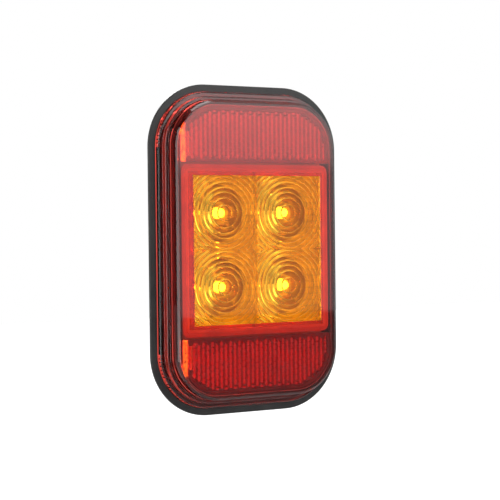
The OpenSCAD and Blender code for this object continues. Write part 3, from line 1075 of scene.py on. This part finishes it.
def seal_groove():
    """The groove in the socket's lip that the seal sits in."""
    clear = 0.6
    groove_w = 0.9
    reach = 2 * (clear + groove_w)
    top = -BACK_STEP + 1
    bottom = -BACK_STEP - 0.7 - GAP
    outline = rounded_rectangle(SOCKET_W + reach, SOCKET_H + reach, 0.3, 0, SOCKET_Z)
    return swept("groove", outline, [(0, top), (0, bottom), (groove_w, bottom), (groove_w, top)], closed=True)


def blade(name, node, x):
    """A terminal blade with a tapered tip, rounded edges and a slot for the plug's spring."""
    tip = height_of(high(node).y)
    tail = height_of(low(node).y)
    taper = 0.28
    taper_l = 1.3
    edge = 0.2
    strip = rounded_rectangle(BLADE_W, BLADE_T, 0.12, x, SOCKET_Z, 3)
    piece = swept(name, strip, [(taper, tip), (0, tip + taper_l), (0, tail - 0.5), (edge, tail)])
    hole = puck("hole", rounded_rectangle(0.9, 3, 0.44, x, SOCKET_Z, 8), tip + 2.2, tip + 3.4)
    piece = carved(piece, [hole])
    return finish_piece(piece, name, [node], tinned_blade)


# ------------------------------ build

lens_body()
amber_panel()
reflex_plate("upper", 1)
reflex_plate("lower", -1)
light_frame()
housing()
gasket()
stud("upper", 1)
stud("lower", -1)
socket()
blade("supply_blade", "supply_terminal", -BLADE_X)
blade("ground_blade", "ground_terminal", BLADE_X)

KEPT_NODES = {
    "lens_seal": weld_bead, "upper_reflex_backing": reflex_cover, "lower_reflex_backing": reflex_cover,
    "led_board": board_white, "board_screws": screw_steel,
    "thermal_pad": thermal_gel, "heat_spreader": spreader_metal,
    "surge_suppressor": chip_plastic, "polarity_diode": chip_plastic, "led_driver_chip": chip_plastic,
    "input_capacitor": capacitor_tan, "output_capacitor": capacitor_tan, "power_inductor": ferrite_grey,
    "sense_resistor": resistor_black, "socket_seal": seal_silicone,
    "breather_membrane": membrane_white, "breather_cap": vent_black,
}
for row in ("upper", "lower"):
    for end in ("left", "right"):
        KEPT_NODES[f"{row}_{end}_led"] = led_ceramic
        KEPT_NODES[f"{row}_{end}_led_dome"] = led_dome
for node, look in KEPT_NODES.items():
    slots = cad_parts[node].data.materials
    slots.clear()
    slots.append(look.material)


# ------------------------------ studio

def polar(azimuth, elevation, distance, target):
    """A point at an angle from the target. Azimuth 0 is in front, and 90 is to the right."""
    az = math.radians(azimuth)
    el = math.radians(elevation)
    way = Vector((math.sin(az) * math.cos(el), -math.cos(az) * math.cos(el), math.sin(el)))
    return target + way * distance


def aimed(obj, target):
    obj.rotation_euler = (target - obj.location).to_track_quat("-Z", "Y").to_euler()


def softbox(name, azimuth, elevation, distance, width, height, power):
    """A rectangular lamp that faces the object."""
    data = bpy.data.lights.new(name, "AREA")
    data.shape = "RECTANGLE"
    data.size = width
    data.size_y = height
    data.energy = power
    lamp = bpy.data.objects.new(name, data)
    bpy.context.scene.collection.objects.link(lamp)
    target = Vector((0, 0, 0))
    lamp.location = polar(azimuth, elevation, distance, target)
    aimed(lamp, target)
    return lamp


def graded(lamp, edge_low, edge_high):
    """Darkens a softbox below an edge, given as parts of its height. Above the edge it gets
    steadily brighter, up to full."""
    below_edge = 0.02
    at_edge = 0.45
    full_from = 0.52
    lamp.data.use_nodes = True
    tree = lamp.data.node_tree
    emission = tree.nodes["Emission"]
    place = tree.nodes.new("ShaderNodeNewGeometry")
    split = tree.nodes.new("ShaderNodeSeparateXYZ")
    tree.links.new(place.outputs["Parametric"], split.inputs[0])
    both = tree.nodes.new("ShaderNodeMath")
    both.operation = "MULTIPLY"
    for k, (end, start_value) in enumerate(((edge_high, below_edge), (full_from, at_edge))):
        fade = tree.nodes.new("ShaderNodeMapRange")
        set_inputs(fade, {"From Min": edge_low, "From Max": end, "To Min": start_value})
        tree.links.new(split.outputs["Y"], fade.inputs["Value"])
        tree.links.new(fade.outputs["Result"], both.inputs[k])
    tree.links.new(both.outputs["Value"], emission.inputs["Strength"])


def white_floor():
    """A wide pale floor that meets the white surroundings."""
    half = 4.0
    floor_z = -0.3
    mesh = bpy.data.meshes.new("studio_floor")
    corners = [(-half, -half, floor_z), (half, -half, floor_z), (half, half, floor_z), (-half, half, floor_z)]
    mesh.from_pydata(corners, [], [(0, 1, 2, 3)])
    floor = bpy.data.objects.new("studio_floor", mesh)
    bpy.context.scene.collection.objects.link(floor)
    look = Look("pale_floor", (0.6, 0.6, 0.6), 0.8)
    cloud = look.noise(300, 3)
    look.to("Roughness", look.spread(cloud, 0.65, 0.8))
    look.set("Emission Color", (1, 1, 1, 1))
    seen = look.add("ShaderNodeLightPath").outputs["Is Camera Ray"]
    look.to("Emission Strength", seen)
    mesh.materials.append(look.material)


def surroundings():
    """White to the camera. For reflections and fill, a room that is bright in front and to the
    right, and dark behind."""
    room_dark = 0.05
    room_bright = 1.5
    bright_side = Vector((0.75, -0.6, 0.3)).normalized()
    world = bpy.data.worlds.new("studio")
    bpy.context.scene.world = world
    world.use_nodes = True
    tree = world.node_tree
    background = tree.nodes["Background"]
    path = tree.nodes.new("ShaderNodeLightPath")
    way = tree.nodes.new("ShaderNodeTexCoord")
    along = tree.nodes.new("ShaderNodeVectorMath")
    along.operation = "DOT_PRODUCT"
    along.inputs[1].default_value = bright_side
    tree.links.new(way.outputs["Generated"], along.inputs[0])
    bright = tree.nodes.new("ShaderNodeMapRange")
    set_inputs(bright, {"From Min": 0.1, "To Min": room_dark, "To Max": room_bright})
    tree.links.new(along.outputs["Value"], bright.inputs["Value"])
    # The room's brightness, or plain white where the camera looks straight at it
    mix = tree.nodes.new("ShaderNodeMix")
    mix.data_type = "FLOAT"
    mix.inputs[3].default_value = 1.0
    tree.links.new(path.outputs["Is Camera Ray"], mix.inputs[0])
    tree.links.new(bright.outputs["Result"], mix.inputs[2])
    tree.links.new(mix.outputs[0], background.inputs["Strength"])
    set_inputs(background, {"Color": (1, 1, 1, 1)})


# The camera's place, as seen from its target
CAMERA_AZIMUTH = -31.0
CAMERA_ELEVATION = 0.87
CAMERA_DISTANCE = 0.5803
CAMERA_ROLL = -0.63
CAMERA_TARGET = Vector((0, -11.5 * MM, 0))
CAMERA_LENS = 106.1
CAMERA_SENSOR = 36.0
# What the framing needs
CAMERA_SHIFT_X = -0.0152
CAMERA_SHIFT_Y = -0.001


def studio_camera():
    data = bpy.data.cameras.new("photo_camera")
    data.sensor_width = CAMERA_SENSOR
    data.lens = CAMERA_LENS
    data.shift_x = CAMERA_SHIFT_X
    data.shift_y = CAMERA_SHIFT_Y
    data.dof.use_dof = False
    camera = bpy.data.objects.new("photo_camera", data)
    bpy.context.scene.collection.objects.link(camera)
    bpy.context.scene.camera = camera
    camera.location = polar(CAMERA_AZIMUTH, CAMERA_ELEVATION, CAMERA_DISTANCE, CAMERA_TARGET)
    aimed(camera, CAMERA_TARGET)
    camera.rotation_euler.rotate_axis("Z", math.radians(CAMERA_ROLL))


white_floor()
surroundings()
# The softbox that the flat front reflects towards the camera, strongest over its upper part
front = softbox("front_softbox", azimuth=35, elevation=9, distance=0.9, width=0.42, height=0.75, power=2.1)
graded(front, 0.39, 0.415)
# A faint light by the camera, which the reflectors send back to it
softbox("camera_fill", azimuth=-31, elevation=2, distance=1.1, width=0.6, height=0.7, power=0.9)
softbox("front_strip", azimuth=4, elevation=0, distance=1.0, width=0.06, height=1.2, power=0.9)
# The highlights along the lens's left side
softbox("left_softbox", azimuth=-80, elevation=0, distance=0.9, width=1.0, height=1.4, power=15.0)
softbox("top_panel", azimuth=10, elevation=70, distance=0.8, width=0.5, height=0.3, power=2.5)
softbox("floor_bounce", azimuth=0, elevation=-70, distance=0.8, width=0.5, height=0.3, power=1.5)
softbox("back_softbox", azimuth=165, elevation=30, distance=1.2, width=0.5, height=0.5, power=8.0)
studio_camera()

scene = bpy.context.scene
scene.view_settings.view_transform = "Standard"
# Enough bounces for light to go through the lens and the prisms, and come back
scene.cycles.max_bounces = 24
scene.cycles.glossy_bounces = 16
scene.cycles.transmission_bounces = 24
scene.cycles.diffuse_bounces = 4
